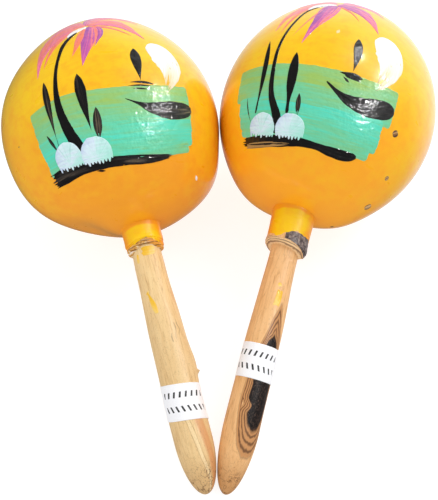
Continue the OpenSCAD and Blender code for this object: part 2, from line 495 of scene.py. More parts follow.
def wood(name, pale, mid, deep, figure):
    """Lightly varnished turned wood with grain along the handle; figure adds the coloured streaks."""
    box = Paintbox(name, Coat_Weight=0.08, Coat_Roughness=0.3, **VARNISH)
    fibre = box.noise(box.place((1, 1, 0.09)), 1.1, 6.0, 0.62, 0.3)
    rings = box.noise(box.place((0.5, 1, 0.03)), 0.42, 3.0, 0.5, 1.2)
    grain = box.add(box.times(fibre, 0.7), box.times(rings, 0.3))
    colour = box.ramp(grain, (0.34, deep), (0.45, mid), (0.58, pale))
    colour = box.over(colour, mid, box.noise(box.place((1, 1, 0.5)), 0.12, 4.0), 0.35, 0.7, 0.4)
    # Mark Z darkens the wood towards deep: real end grain at the butt, plus painted shade along the grip.
    end_grain_and_shade = box.span(box.mark("Z"), 0.0, 1.0)
    colour = box.mix(box.times(end_grain_and_shade, 0.75), colour, deep)
    colour = box.over(colour, deep, box.gap(rings, 0.52), 0.018, 0.0, 0.4)
    colour = figure(box, colour, fibre)
    flecks = box.span(box.noise(box.place((1, 1, 0.16)), 3.6, 2.0, 0.6), 0.6, 0.72, 0.0, 0.36)
    speckle = box.span(box.noise(box.place(), 1.5, 4.0, 0.7), 0.56, 0.68, 0.0, 0.75)
    crack = box.span(box.gap(box.noise(box.place(), 0.3), 0.5), 0.02, 0.004, 0.0, 0.9)
    crack = box.times(crack, box.span(end_grain_and_shade, 0.5, 0.85))
    dark = box.math("MAXIMUM", box.times(speckle, end_grain_and_shade), crack)
    dark = box.math("MAXIMUM", flecks, dark)
    colour = box.mix(dark, colour, (112, 76, 48))
    bump = box.bump(fibre, 0.5, 0.12)
    bump = box.bump(box.times(dark, -1.0), 0.6, 0.12, bump)
    return box.finish(Base_Color=colour, Roughness=box.span(grain, 0.3, 0.65, 0.5, 0.38), Normal=bump)


def left_figure(box, colour, fibre):
    """A reddish streak and a pale one beside it along the left grip, and torn fibres on its collar with
    painted shade in its turned grooves.
    """
    red = box.stir(box.mark("X"), fibre, 0.3, 0.7, 0.15)
    colour = box.over(colour, (210, 132, 76), red, 0.35, 0.7, 0.6)
    pale = box.stir(box.mark("Y"), fibre, 0.3, 0.7, 0.12)
    colour = box.over(colour, (246, 224, 178), pale, 0.4, 0.7, 0.5)
    colour = box.over(colour, (120, 82, 62), box.gap(pale, 0.3), 0.09, 0.02, 0.5)
    torn = box.noise(box.place((1, 1, 6)), 0.45, 4.0, 0.7, 1.0)
    fray = box.ramp(torn, (0.36, (84, 56, 52)), (0.43, (190, 120, 50)), (0.5, (236, 176, 70)),
                    (0.58, (244, 214, 160)), (0.66, (236, 226, 222)))
    fray = box.over(fray, (236, 158, 44), box.mark("Y"), 0.1, 0.9, 0.75)
    # Painted shade: dark bands across the torn rim stand for the shade in its turned grooves.
    groove = box.math("SINE", box.times(box.axis(box.place(), "Z"), 5.2))
    fray = box.over(fray, (96, 60, 44), groove, 0.45, 0.9, 0.65)
    return box.over(colour, fray, box.mark("Z"), -0.1, -0.7)


def right_figure(box, colour, fibre):
    """Nested rings round black heartwood on the right grip, and layers and heartwood on its collar."""
    wobble = box.noise(box.place((1, 1, 0.3)), 0.4, 4.0, 0.6)
    level = box.stir(box.mark("X"), wobble, 0.3, 0.7, 0.03)
    lines = box.math("SINE", box.times(level, 58.0))
    rings = box.over((198, 142, 90), (92, 58, 38), lines, -0.3, 0.9, 0.8)
    speckled = box.noise(box.place((1, 1, 0.5)), 2.2, 4.0, 0.7)
    black = box.over((20, 15, 15), (84, 66, 58), speckled, 0.5, 0.66)
    rings = box.over(rings, black, level, 0.64, 0.56)
    colour = box.over(colour, rings, level, 1.02, 0.96)
    heart = box.stir(box.mark("Y"), wobble, 0.3, 0.7, 0.2)
    mottled = box.noise(box.place((1, 1, 0.7)), 0.9, 5.0, 0.7)
    grey = box.ramp(mottled, (0.36, (48, 40, 40)), (0.52, (112, 98, 96)), (0.66, (170, 156, 146)))
    colour = box.over(colour, grey, heart, 0.45, 0.6)
    layer = box.math("SINE", box.times(box.stir(box.mark("Z"), wobble, 0.3, 0.7, 0.1), 11.0))
    layered = box.over((240, 202, 152), (116, 70, 48), layer, -0.2, 0.8, 0.75)
    return box.over(colour, layered, box.mark("Z"), -0.05, -0.15)


# Two rows of ticks: height of the row on the label, slant
TICK_ROWS = ((-2.7, 0.35), (2.9, -0.3))
TICK_HALF_HEIGHT = 1.15
TICKS_PER_MM = 0.42
TICK_SHARE = 0.34
ROW_HALF_LENGTH = 8.6


def paper(name):
    """Matt sticker paper with faint fibres and two rows of plain slanted ticks."""
    box = Paintbox(name)
    across, along = box.mark("X"), box.mark("Y")
    fibres = box.noise(box.place(name="marks"), 3.0, 5.0)
    inked = 0.0
    for row, slant in TICK_ROWS:
        near = box.math("LESS_THAN", box.gap(along, row), TICK_HALF_HEIGHT)
        leaning = box.times(box.add(across, box.times(along, slant)), TICKS_PER_MM)
        tick = box.math("LESS_THAN", box.math("FRACT", leaning), TICK_SHARE)
        inked = box.math("MAXIMUM", box.times(near, tick), inked)
    inked = box.times(inked, box.math("LESS_THAN", box.gap(across, 0.0), ROW_HALF_LENGTH))
    inked = box.times(inked, box.span(fibres, 0.36, 0.42, 0.75, 1.0))
    colour = box.over((250, 250, 252), (226, 228, 234), fibres, 0.3, 0.7, 0.5)
    return box.finish(Base_Color=box.mix(inked, colour, (34, 32, 34)), Normal=box.bump(fibres, 0.25, 0.03),
                      Roughness=box.span(fibres, 0.3, 0.7, 0.5, 0.62))


def seed_coat(name):
    """Hard dark seed coat with pale scuffs."""
    box = Paintbox(name)
    local = box.place()
    mottled = box.noise(local, 0.8, 4.0)
    colour = box.ramp(mottled, (0.35, (40, 24, 16)), (0.6, (86, 52, 32)), (0.75, (132, 92, 60)))
    return box.finish(Base_Color=colour, Roughness=box.span(mottled, 0.3, 0.7, 0.3, 0.55),
                      Normal=box.bump(box.noise(local, 2.5), 0.4, 0.08))


# On the gourds the turn from yellow at the crown to orange at the neck is partly the enamel's own tone and
# partly painted shade towards the neck.
ENAMEL = {
    "left": enamel("left_gourd_enamel", -0.2, 0.62),
    "right": enamel("right_gourd_enamel", -0.2, 0.7, orange=(255, 172, 32), deep=(250, 158, 28)),
}
# On the collar the enamel is yellow on top and orange on the sides: painted light on top and painted shade on
# the sides.
COLLAR_ENAMEL = enamel("collar_enamel", -1.0, -0.55, coat=0.12, gloss=0.3, axis="Y", slope=-0.12)
INK = brushed_paint("black_paint", (0.2, (8, 8, 10)), (0.6, (20, 17, 18)), (0.8, (60, 52, 46)),
                    (1.0, (120, 104, 78)), streak=2.4, gloss=0.5, coat=0.8)
# Paint of each painted piece, as tint and colour stops
PAINTS = {
    "ground": INK,
    "trunk": INK,
    "grass": INK,
    "boats": INK,
    "sea": brushed_paint("sea_paint", (0.1, (156, 194, 98)), (0.35, (134, 198, 132)), (0.62, (110, 206, 160)),
                         (0.9, (86, 218, 190)), streak=0.9, dark=(0.4, (186, 204, 102))),
    "fronds": brushed_paint("frond_paint", (0.0, (158, 84, 168)), (0.35, (206, 98, 164)),
                            (0.65, (240, 126, 156)), (1.0, (250, 134, 104)), streak=1.6,
                            dark=(0.4, (176, 66, 116))),
    "sail": brushed_paint("white_paint", (0.0, (222, 232, 246)), (0.45, (248, 248, 250)),
                          (0.75, (252, 234, 208)), (1.0, (250, 214, 150)), streak=1.8),
    "bushes": brushed_paint("bush_paint", (0.0, (186, 198, 234)), (0.5, (218, 238, 246)),
                            (1.0, (176, 234, 222)), streak=1.1, dark=(0.65, (140, 172, 190))),
    "scrub": brushed_paint("scrub_paint", (0.2, (40, 30, 22)), (0.55, (110, 80, 46)), (0.9, (170, 132, 80)),
                           streak=2.2, gloss=0.5),
    "chips": brushed_paint("chip_paint", (0.0, (82, 60, 46)), (0.5, (150, 108, 66)), (1.0, (216, 176, 120)),
                           streak=2.0),
    "splashes": brushed_paint("splash_paint", (0.0, (232, 178, 42)), (0.5, (244, 194, 62)),
                              (1.0, (246, 216, 138)), streak=1.6, dark=(0.5, (214, 166, 84))),
}
LEFT_WOOD = wood("left_handle_wood", (242, 212, 158), (234, 200, 144), (202, 160, 108), left_figure)
RIGHT_WOOD = wood("right_handle_wood", (240, 192, 136), (234, 182, 124), (188, 132, 78), right_figure)
PAPER = paper("label_paper")
SEED = seed_coat("seed_coat")


# ------------------------------------------------------------------ gourds

def gourd(maraca):
    """Hollow gourd with a lumpy wall, a blossom scar at its crown and a hole for the tenon."""
    cols, rows, hole = 256, 150, math.asin(TENON_R / maraca.gourd_r)
    phi = np.linspace(hole, math.pi * 0.997, rows)[:, None]
    turn = around(cols)
    toward_stick = -maraca.gourd_x / maraca.gourd_r * (1 - ease((phi - 0.2) / 0.6))
    sphere = lathe(np.sin(phi) + 0 * turn, turn, np.cos(phi))
    u = unit(sphere + toward_stick[..., None] * (1, 0, 0))
    radius = maraca.gourd_radius(u)[..., None]
    outer, inner = u * radius, u * (radius - WALL)
    size = rows * cols
    faces = grid_faces(rows, cols, True) + grid_faces(rows, cols, True, size)
    faces += [[j, (j + 1) % cols, size + (j + 1) % cols, size + j] for j in range(cols)]
    for k, last in enumerate((size - cols, 2 * size - cols)):
        faces += [[last + j, last + (j + 1) % cols, 2 * size + k] for j in range(cols)]
    poles = np.array([outer[-1].mean(0), inner[-1].mean(0)])
    points = np.concatenate([outer.reshape(-1, 3), inner.reshape(-1, 3), poles])
    solid = Solid()
    solid.add(points, np.zeros_like(points), faces)
    solid.build(maraca.side + "_gourd", maraca, maraca.gourd_at, ENAMEL[maraca.side],
                replaces=[maraca.side + "_gourd_shell"])


# ------------------------------------------------------------------ brush strokes

SINK = 0.14
FILM_BACK = 0.4


def ribbon(path, widths, thick, tint, seed, ends=(2, 2), ragged=(0, 0), dry=0.0, step=0.45, lower=None,
           core=0.0, fan=False):
    """A brush stroke as grids of x, y, height and marks, in millimetres.

    Widths belong to the path's points. Each end is rounded over its length in ends, and each bristle
    starts and stops up to ragged millimetres early. dry bares streaks towards the stroke's far end.
    lower gives the half-widths on the path's right side if they aren't the same as on its left.
    core raises the tint along the middle, and fan lets the bristles run out from the path's middle.
    """
    path = np.array(path, float)
    knots = np.append(0, np.cumsum(np.linalg.norm(np.diff(path, axis=0), axis=1)))
    length = knots[-1]
    rows = max(10, int(length / step))
    cols = int(np.clip(max(widths) / 0.26, 9, 90))
    s = np.linspace(0, 1, rows)[:, None]
    t = np.linspace(-1, 1, cols)[None, :]
    hair = t * max(widths) / 2
    first = ragged[0] * noise(hair / 0.55, 0, seed)
    last = length - ragged[1] * noise(hair / 0.55, 5, seed + 1)
    along = first + (last - first) * s
    centre = curve(knots, path, along)
    ahead = unit(curve(knots, path, along + 0.05) - curve(knots, path, along - 0.05))
    side = np.stack([-ahead[..., 1], ahead[..., 0]], -1)
    half = np.clip(curve(knots, widths, along) / 2, 0.14, None)
    if lower is not None:
        half = np.where(t < 0, np.clip(curve(knots, lower, along), 0.1, None), half)
    for reach, length_in in ((along, ends[0]), (length - along, ends[1])):
        q = np.clip(reach / max(length_in, 1e-6), 0, 1)
        half = np.maximum(half * np.sqrt(np.clip(1 - (1 - q) ** 2, 0, 1)), 0.12)
    half = half * (1 + 0.07 * (noise(along / 2.2, np.sign(t) * 3, seed + 2) - 0.5))
    xy = centre + side * (half * t)[..., None]
    across = half * t
    edge = ease(np.minimum((1 - np.abs(t)) * half / 0.3, np.minimum(s, 1 - s) * length / 0.4))
    bristle = noise(across / 0.45, along / 9, seed + 3) - 0.5
    load = thick * (1 + 0.7 * bristle)
    worn = noise(across / 0.6, along / 14, seed + 4) + 0.5 * (noise(along / 2.5, across / 2, seed + 5) - 0.5)
    bare = ease((worn - (1.12 - dry * (0.25 + 0.75 * s))) / 0.12)
    height = -SINK + (SINK + load) * edge * (1 - bare)
    at_root, at_tip = np.broadcast_to(tint, 2)
    tint = at_root + (at_tip - at_root) * s
    tint = tint + core * (1 - t ** 2) * ease(2 * noise(across / 0.5, along / 8, seed + 6) - 0.3)
    bristles = (along, across)
    if fan:
        bristles = (np.hypot(along - length / 2, across), 9 * np.arctan2(across + 0.5, along - length / 2))
    marks = np.stack([bristles[0] + 40 * seed, bristles[1], tint], -1)
    return xy[..., 0], xy[..., 1], height, marks


def painted(m, name, strokes, seed, on_handle=False):
    """Makes a piece of brush strokes, each with the next seed, on the gourd or on the handle."""
    where, origin = (m.on_stick, m.stick_at) if on_handle else (m.on_gourd, m.gourd_at)
    solid = Solid()
    for k, stroke in enumerate(strokes):
        x, y, height, marks = ribbon(seed=seed + k, **stroke)
        solid.film(where(x, y, height), where(x, y, np.full_like(height, -FILM_BACK)), marks)
    solid.build(f"{m.side}_{name}", m, origin, PAINTS[name])


def line(*points, **look):
    """A stroke through points given as x, y and width."""
    points = np.array(points, float)
    return dict(path=points[:, :2], widths=points[:, 2], **look)


def leaf(root, tip, width, belly=0.6, bend=0.0, stem=0.06, **look):
    """A leaf-shaped stroke from root to tip, fattest at belly and stem wide at its root."""
    root, tip = np.array(root, float), np.array(tip, float)
    side = np.array([-(tip - root)[1], (tip - root)[0]])
    shares = np.linspace(0, 1, 13)
    path = [root + (tip - root) * q + side * bend * math.sin(math.pi * q) for q in shares]
    def swell(q):
        bent = q ** (math.log(0.5) / math.log(belly))
        return width * max(stem * (1 - q), 0.05, math.sin(math.pi * bent) ** 0.8)
    return dict(path=path, widths=[swell(q) for q in shares], **look)


# Sea strokes: height on the painting, left end, right end, width, tint
SEA_STROKES = {
    "left": [(-3.2, -34.5, 35.6, 9, 0.3), (-9.5, -34, 35.3, 8.5, 0.42), (-15.5, -33.6, 34.6, 8.5, 0.78),
             (-21, -32.6, 33.8, 8, 0.8), (-25.5, -32.5, 31.4, 5, 0.6)],
    "right": [(-1.2, -41.8, 30.2, 9.5, 0.3), (-8, -41.4, 29.8, 9, 0.5), (-14.5, -38.5, 26.2, 9, 0.85),
              (-19.8, -37.2, 26.4, 8.4, 0.7), (-24.2, -35.5, 23.6, 6.4, 0.62)],
}
# Rise of every sea stroke at its left end, quarter, middle, quarter and right end
SEA_BOW = {"left": (0.9, 3.4, 1.9, 0.9, 0.4), "right": (-0.4, 1.3, 0.8, -0.1, -0.9)}
# Seed of the first stroke of each kind
SEA_SEED = {"left": 29, "right": 20}
MOTIF_SEED = 60
FROND_SEED = 90
SAIL_SEED = 120
BUSH_SEED = 140
CHIP_SEED = 160
SPLASH_SEED = 170
# The ground, palm, grass and boats of each gourd, in the order in which they are painted
MOTIF = {
    "left": {
        "ground": [
            line((-34.2, -28.8, 6.2), (-24.8, -26.3, 6.9), (-16.5, -24.9, 5.6), (-7, -24.9, 4.7),
                 (2, -25.6, 4.4), (11, -26.9, 4), (22.2, -27.3, 1.6), ends=(0.6, 1.2), ragged=(4.5, 3),
                 dry=0.3, thick=0.2, tint=0.3, core=0.4),
            leaf((-12, -27.2), (-7.4, -28), 1.2, 0.6, thick=0.18, tint=0.35),
        ],
        "trunk": [
            line((-14.6, -22, 6.4), (-16.2, -16, 5.6), (-18.4, -9, 4.6), (-19.9, 1, 3.4), (-19.2, 12, 2.1),
                 (-16.8, 22, 1.8), (-11.8, 33, 2.3), (-6.2, 37.6, 0.8), ends=(1, 2), dry=0.1, thick=0.19,
                 tint=0.3),
        ],
        "grass": [
            leaf((-24, -15.5), (-24.7, 14.4), 3.4, 0.7, 0, 0.2, thick=0.17, tint=0.4, core=0.55),
            leaf((-24.4, -18), (-28.5, -8.1), 1.8, 0.6, thick=0.15, tint=0.5, core=0.3),
            leaf((-9, -15), (-9.8, 12.4), 4.6, 0.7, 0.01, thick=0.18, tint=0.3, core=0.5),
            leaf((-7, -16), (-5.4, -2.8), 3.8, 0.5, thick=0.16, tint=0.35, core=0.4, dry=0.1),
        ],
        "boats": [
            leaf((14.3, 3.4), (15.1, 20.4), 4.7, 0.66, thick=0.18, tint=0.2, core=0.25),
            leaf((8.2, 4), (20.2, 2.2), 1.4, 0.6, 0.05, thick=0.13, tint=0.7, dry=0.25),
            leaf((6.4, 2.6), (19.4, 1.4), 1.1, 0.6, 0.03, thick=0.13, tint=0.6, dry=0.3),
            leaf((8.4, 1.2), (17, 0.2), 1.2, 0.6, 0.04, thick=0.13, tint=0.7, dry=0.35),
            line((6, -2.1, 0.5), (11.2, -4.9, 1.7), (15.6, -7, 4.4), (20.5, -8.3, 6.8), (26, -9, 8),
                 (31.5, -9.1, 6.8), (35.6, -8.8, 4.2), ends=(1, 2.4), thick=0.2, tint=0.35, core=0.4),
        ],
    },
    "right": {
        "ground": [
            line((-35, -30, 3.6), (-26.5, -28.5, 5.2), (-16, -26.8, 5.3), (-6.5, -25.8, 4), (1, -26.2, 3.2),
                 (7, -27.2, 4.2), (13, -27.8, 4.6), (18.4, -27.3, 2.8), ends=(0.6, 2.8), ragged=(3.5, 0.2),
                 dry=0.1, thick=0.2, tint=(0.3, 0.1), core=0.2),
        ],
        "scrub": [
            line((-32, -31.2, 2.6), (-26, -30, 3), (-17, -28.2, 2.4), (-9, -27, 0.8), ends=(0.6, 1.5),
                 ragged=(2, 2.5), dry=0.4, thick=0.26, tint=0.7, core=0.4),
        ],
        "trunk": [
            line((-16.4, -24, 5.2), (-17.4, -18, 4.4), (-21.7, -9, 2.9), (-23.6, 2, 2.2), (-24.2, 13, 1.7),
                 (-21.6, 27, 1.4), (-16.6, 38.5, 1.2), (-9.5, 43.5, 0.8), ends=(1, 2), thick=0.2, tint=0.3),
        ],
        "grass": [
            leaf((-28, -17), (-30.3, 18.4), 2.8, 0.6, -0.04, 0.5, thick=0.17, tint=0.3, core=0.2),
            leaf((-29.6, -21), (-34.1, -8.6), 1.1, 0.5, 0.06, 0.7, thick=0.14, tint=0.3),
            leaf((-13.5, -16), (-15.2, 10.4), 4.4, 0.62, 0, 0.45, thick=0.18, tint=0.25, core=0.25),
            leaf((-9, -17), (-10.1, -6.7), 2.4, 0.55, 0, 0.6, thick=0.15, tint=0.35, core=0.3, dry=0.1),
        ],
        "boats": [
            leaf((8.4, 3.6), (8, 20.8), 4.1, 0.66, -0.04, thick=0.18, tint=0.3, core=0.3),
            leaf((2.4, 3.4), (13.4, 2.4), 2.7, 0.62, 0.02, thick=0.16, tint=0.2),
            leaf((13.6, 0.8), (5, 2.4), 1.8, 0.6, -0.05, thick=0.15, tint=0.25),
            leaf((4.4, 2.4), (8.4, -0.4), 1.4, 0.6, thick=0.14, tint=0.3),
            line((-0.8, -1.1, 0.9), (4.6, -4.8, 2.3), (9.8, -6.9, 4.7), (15.9, -7.6, 7), (22.3, -7.1, 8.2),
                 (26.5, -6.4, 7), (29.5, -5.6, 4.4), ends=(1, 2.4), thick=0.2, tint=0.2, core=0.25),
        ],
    },
}
# Palm fronds, each with its tint at the root and at the tip
FRONDS = {
    "left": [
        line((-3, 43, 3), (-8, 49, 7), (-15, 50.5, 6), (-22, 47, 0.5), tint=(0.5, 0.7)),
        line((-1, 42, 3), (3, 48, 6), (9, 50.5, 6), (17, 48, 4), (24, 42, 0.5), tint=(0.4, 0.55)),
        line((-2, 42, 2.2), (0, 50, 4.6), (5, 56, 3.6), (12, 59, 0.5), tint=(0.2, 0.5)),
        line((-2, 42.5, 2), (-10, 45, 8.5), (-17.5, 43, 10), (-22, 37, 8.6), (-25.2, 29.5, 4.6),
             (-27.6, 16.5, 0.3), tint=(0.6, 0.7)),
        line((-4, 40, 1.5), (-11, 38.8, 3.6), (-17, 34.2, 3.2), (-21, 28, 2), (-24.2, 20, 0.3),
             tint=(0.7, 0.9)),
        line((0, 40, 3.6), (-1, 34.6, 5.2), (-2.6, 28, 6.4), (-4.6, 22, 3.8), (-6.9, 14.6, 0.3),
             tint=(0.05, 0.2)),
        line((1.4, 39.4, 2.4), (1.4, 34, 3.6), (0, 28, 2.8), (-2.4, 22, 0.3), tint=(0.6, 0.75)),
        line((-2.6, 39, 1.8), (-3.9, 35.8, 3.4), (-6.2, 30.4, 3.8), (-8.4, 25, 1.9), (-10.4, 21, 0.3),
             tint=(0.8, 0.95)),
        line((2.6, 38.6, 1.8), (3.8, 35.5, 2.7), (3.5, 31.5, 2.7), (1.7, 27.5, 1.4), (-0.4, 23.4, 0.3),
             tint=(0, 0.15)),
        line((0.4, 39.4, 1.2), (3.8, 38.2, 2), (9, 35.2, 1.6), (14, 31, 1), (17, 28, 0.3),
             tint=(0.85, 0.95)),
        line((-1.2, 41.4, 2.4), (5, 42.4, 6), (10.6, 40.8, 7.6), (15.4, 36.6, 5.6), (18.7, 31.8, 2.8),
             (22.4, 26.2, 0.3), tint=(0.6, 0.4)),
    ],
    "right": [
        line((-5, 46, 3), (-11, 51, 7), (-19, 52, 6), (-26, 47, 0.5), tint=(0.5, 0.7)),
        line((-3, 45, 3), (3, 50, 6), (11, 50, 5), (19, 44, 0.5), tint=(0.3, 0.5)),
        line((-2, 46, 2.2), (1, 54, 4.6), (7, 60, 3.6), (14, 62, 0.5), tint=(0.2, 0.5)),
        line((-6, 44.5, 2), (-13, 46.3, 6), (-20.8, 43, 6.6), (-26.4, 35.8, 4.2), (-29.9, 23.4, 0.3),
             tint=(0.6, 0.8)),
        line((-15, 42.5, 1.5), (-20.8, 37.4, 2.6), (-24.2, 29.4, 1.8), (-26.3, 21.5, 0.3),
             tint=(0.85, 0.95)),
        line((-9, 43.5, 1.2), (-12.6, 33.5, 1.5), (-16.4, 25.6, 1), (-19.8, 18, 0.3), tint=(0.7, 0.9)),
        line((-6.6, 44, 5), (-7.6, 38.5, 8.4), (-9.8, 30, 6.2), (-12, 23, 3.2), (-14.6, 14, 0.3),
             tint=(0, 0.3)),
        line((-3.6, 43, 2.4), (-4.6, 37, 3.6), (-7.4, 30, 3), (-10.4, 23.4, 0.3), tint=(0.45, 0.55)),
        line((-3, 42.6, 1), (-0.4, 40.4, 1.5), (3.4, 36.9, 1.3), (6.9, 31.4, 0.3), tint=(0.85, 0.95)),
        line((-4.8, 44.8, 3), (1.4, 43.6, 6.6), (7, 41, 7.2), (11.9, 35.6, 4.8), (16.2, 26.8, 0.3),
             tint=(0.2, 0.5)),
    ],
}
# Bushes: left and right foot, height of the dome
BUSHES = {
    "left": [((-27.0, -22.8), (-15.2, -22.3), 9.2), ((-15.7, -22.8), (-3.2, -22.5), 8.6)],
    "right": [((-29.8, -24.3), (-17.6, -24.1), 8.2), ((-17.2, -23.6), (-4.9, -22.8), 7.9)],
}
# White strokes: the sail, the light on the palm's head and a small pale mark that stands for a blister's
# glint, a painted highlight
WHITES = {
    "left": [
        line((21.2, 22, 6), (26.4, 18.4, 12.2), (29.5, 10.5, 11.6), (27.6, 3.8, 5.8), (23.8, -1.8, 0.4),
             ends=(3, 1), ragged=(0.2, 5), dry=0.42, thick=0.2, tint=(0.3, 0.85)),
        line((-11.8, 35.2, 2.2), (-8, 38.2, 3.4), (-3.5, 39.8, 2.6), (-0.6, 40.6, 0.8), ends=(1.2, 1.5),
             ragged=(1.4, 1.4), dry=0.25, thick=0.15, tint=0.4),
        # A painted highlight: the glint on a small blister.
        leaf((35.4, -42.4), (34.4, -38.4), 1.8, 0.5, dry=0.5, thick=0.08, tint=0.4),
    ],
    "right": [
        line((15.4, 24.2, 7), (21, 20.4, 13), (23.8, 12, 11.4), (22.2, 5.4, 6.4), (18, -1, 0.4),
             ends=(3.4, 1), ragged=(0.2, 5), dry=0.4, thick=0.2, tint=(0.35, 0.85)),
        line((-18, 38.6, 2.2), (-14, 42.8, 4.6), (-8.5, 44.6, 3.6), (-4.5, 44.8, 0.8), ends=(1.2, 1.5),
             ragged=(0.6, 1), thick=0.15, tint=0.4),
        # A painted highlight: the glint on a small blister.
        leaf((-1.4, 20.8), (-0.4, 23.8), 1.9, 0.5, dry=0.4, thick=0.1, tint=1.1),
    ],
}
# Small spots where the enamel has flaked or pitted: x, y, size
CHIPS = {
    "left": [(28.7, 3.7, 1.0), (-46, -8, 0.8)],
    "right": [(32.7, -14.0, 2.2), (37.1, -33.5, 1.8), (35.1, -51.1, 3.0), (21.2, -71.6, 1.8)],
}


def layer_thickness(k):
    """Each stroke of the sea and of the palm's head lies a little higher than the one before it."""
    return 0.07 + 0.008 * k


def sea(side):
    """The sea: five broad overlapping strokes with the same bow."""
    for k, (y, x0, x1, width, tint) in enumerate(SEA_STROKES[side]):
        stations = zip((x0, x0 / 2, 0, x1 / 2, x1), SEA_BOW[side])
        yield line(*[(x, y + rise, width) for x, rise in stations], thick=layer_thickness(k), tint=tint,
                   ends=(1.6, 1.6), ragged=(0.35, 0.35), step=0.6)


def bush(left, right, high, seed):
    """A dabbed dome of pale paint, uneven at the top and toothed below."""
    left, right = np.array(left, float), np.array(right, float)
    shares = np.linspace(0, 1, 27)
    path = [left + (right - left) * q + (0, 0.1 - 0.5 * (2 * q - 1) ** 2) for q in shares]
    uneven = [1 + 0.09 * (float(noise(k / 3.1, 0.5, seed)) - 0.5) for k in range(27)]
    dome = [2 * high * u * max(0.0, 1 - abs(2 * q - 1) ** 2.1) ** 0.5 for q, u in zip(shares, uneven)]
    teeth = [1.1 - 0.8 * (2 * q - 1) ** 2 for q in shares]
    teeth = [deep + (k % 3 > 0) * (0.3 + 1.4 * float(scatter(k // 3, seed, 3)))
             for k, deep in enumerate(teeth)]
    return dict(path=path, widths=dome, lower=teeth, thick=0.36, tint=(0.15, 0.85), ends=(0.5, 0.5),
                step=0.16, core=0.25, fan=True)


def chip(x, y, size):
    """A small flake or pit."""
    return line((x - size * 0.6, y - size * 0.4, size * 0.9), (x, y, size * 1.5),
                (x + size * 0.6, y + size * 0.5, size), tint=-0.1, core=1.2, ends=(size * 0.3, size * 0.3),
                dry=0.15, thick=0.07, step=0.15)


def painting(m):
    """All the paint on one gourd, a piece for each colour and part of the scene."""
    painted(m, "sea", sea(m.side), SEA_SEED[m.side])
    seed = MOTIF_SEED
    for name, strokes in MOTIF[m.side].items():
        painted(m, name, strokes, seed)
        seed += len(strokes)
    fronds = [dict(stroke, thick=layer_thickness(k), ends=(1, 1), core=0.3)
              for k, stroke in enumerate(FRONDS[m.side])]
    painted(m, "fronds", fronds, FROND_SEED)
    painted(m, "sail", WHITES[m.side], SAIL_SEED)
    bushes = [bush(*feet, BUSH_SEED + k) for k, feet in enumerate(BUSHES[m.side])]
    painted(m, "bushes", bushes, BUSH_SEED)
    painted(m, "chips", [chip(*spot) for spot in CHIPS[m.side]], CHIP_SEED)


# ------------------------------------------------------------------ handles, collars and labels

def handle(m):
    """Grip, collar and tenon turned from one stick."""
    cols = 144
    top = m.gourd_half - 1.6
    stations = np.concatenate([
        m.butt_len * (1 - np.cos(np.linspace(0.03, math.pi / 2, 44))),
        np.arange(m.butt_len + 0.6, COLLAR_FROM - 4, 0.6),
        np.arange(COLLAR_FROM - 4, m.reach - top, 0.16),
    ])
    d = stations[:, None]
    turn = around(cols)
    radius = m.stick_radius(d, turn)
    height = m.reach - d + 0 * turn
    tenon = TENON_R + np.array([0.4, 0, 0, -0.4])[:, None] + 0 * turn
    tenon_z = top - np.array([0.2, 0.6, TENON_INSIDE, TENON_INSIDE + 0.4])[:, None] + 0 * turn
    radius, height = np.concatenate([radius, tenon]), np.concatenate([height, tenon_z])
    figure, material = HANDLES[m.side]
    solid = Solid()
    solid.capped(lathe(radius, turn, height), figure(m, m.reach - height, turn + 0 * height))
    solid.build(m.side + "_turned_handle", m, m.stick_at, material,
                replaces=[m.side + "_handle"])


def ends(d, worn):
    """How close a place is to the end grain of the butt, mixed with a share, worn, of painted shade that
    darkens the grip from its middle down to the butt.
    """
    # The first term is painted shade over the middle and lower grip; the second is the butt's end grain.
    return worn * ease((90 - d) / 40) + (1 - worn) * ease((18 - d) / 16)


def left_marks(m, d, angle):
    """How red, how pale and how close to end grain each place of the left handle is, the last with painted
    shade along the grip; negative where torn.
    """
    red = np.exp(-(away_from(angle, 27 + d * 1.2) / 0.28) ** 2) * ease((44 - d) / 10)
    red = red + 0.55 * np.exp(-(away_from(angle, 25) / 0.4) ** 2 - ((d - 80) / 7) ** 2)
    off_streak = away_from(angle, 54 + d * 1.5) + 0.03 * np.sin(d * 0.3)
    pale = np.exp(-(off_streak / 0.1) ** 2) * ease((36 - d) / 6)
    for at, bend in ((48, 1.1), (62, 0.7), (76, 0.9)):
        split = (away_from(angle, at) + 0.06 * np.sin(d * bend)) / 0.06
        pale = pale + 0.32 * np.exp(-split ** 2 - ((d - 66 + at / 30) / 5) ** 4)
    torn = ease((m.above_lip(d, angle) + 0.2) / 0.4) * ease((108 - d) / 0.6)
    pale = pale + torn * ease(-away_from(angle, 92) / 0.5)
    # The third mark carries painted shade along the grip at a share of 0.35.
    return np.stack([red, pale, ends(d, 0.35) - 2 * torn], -1)


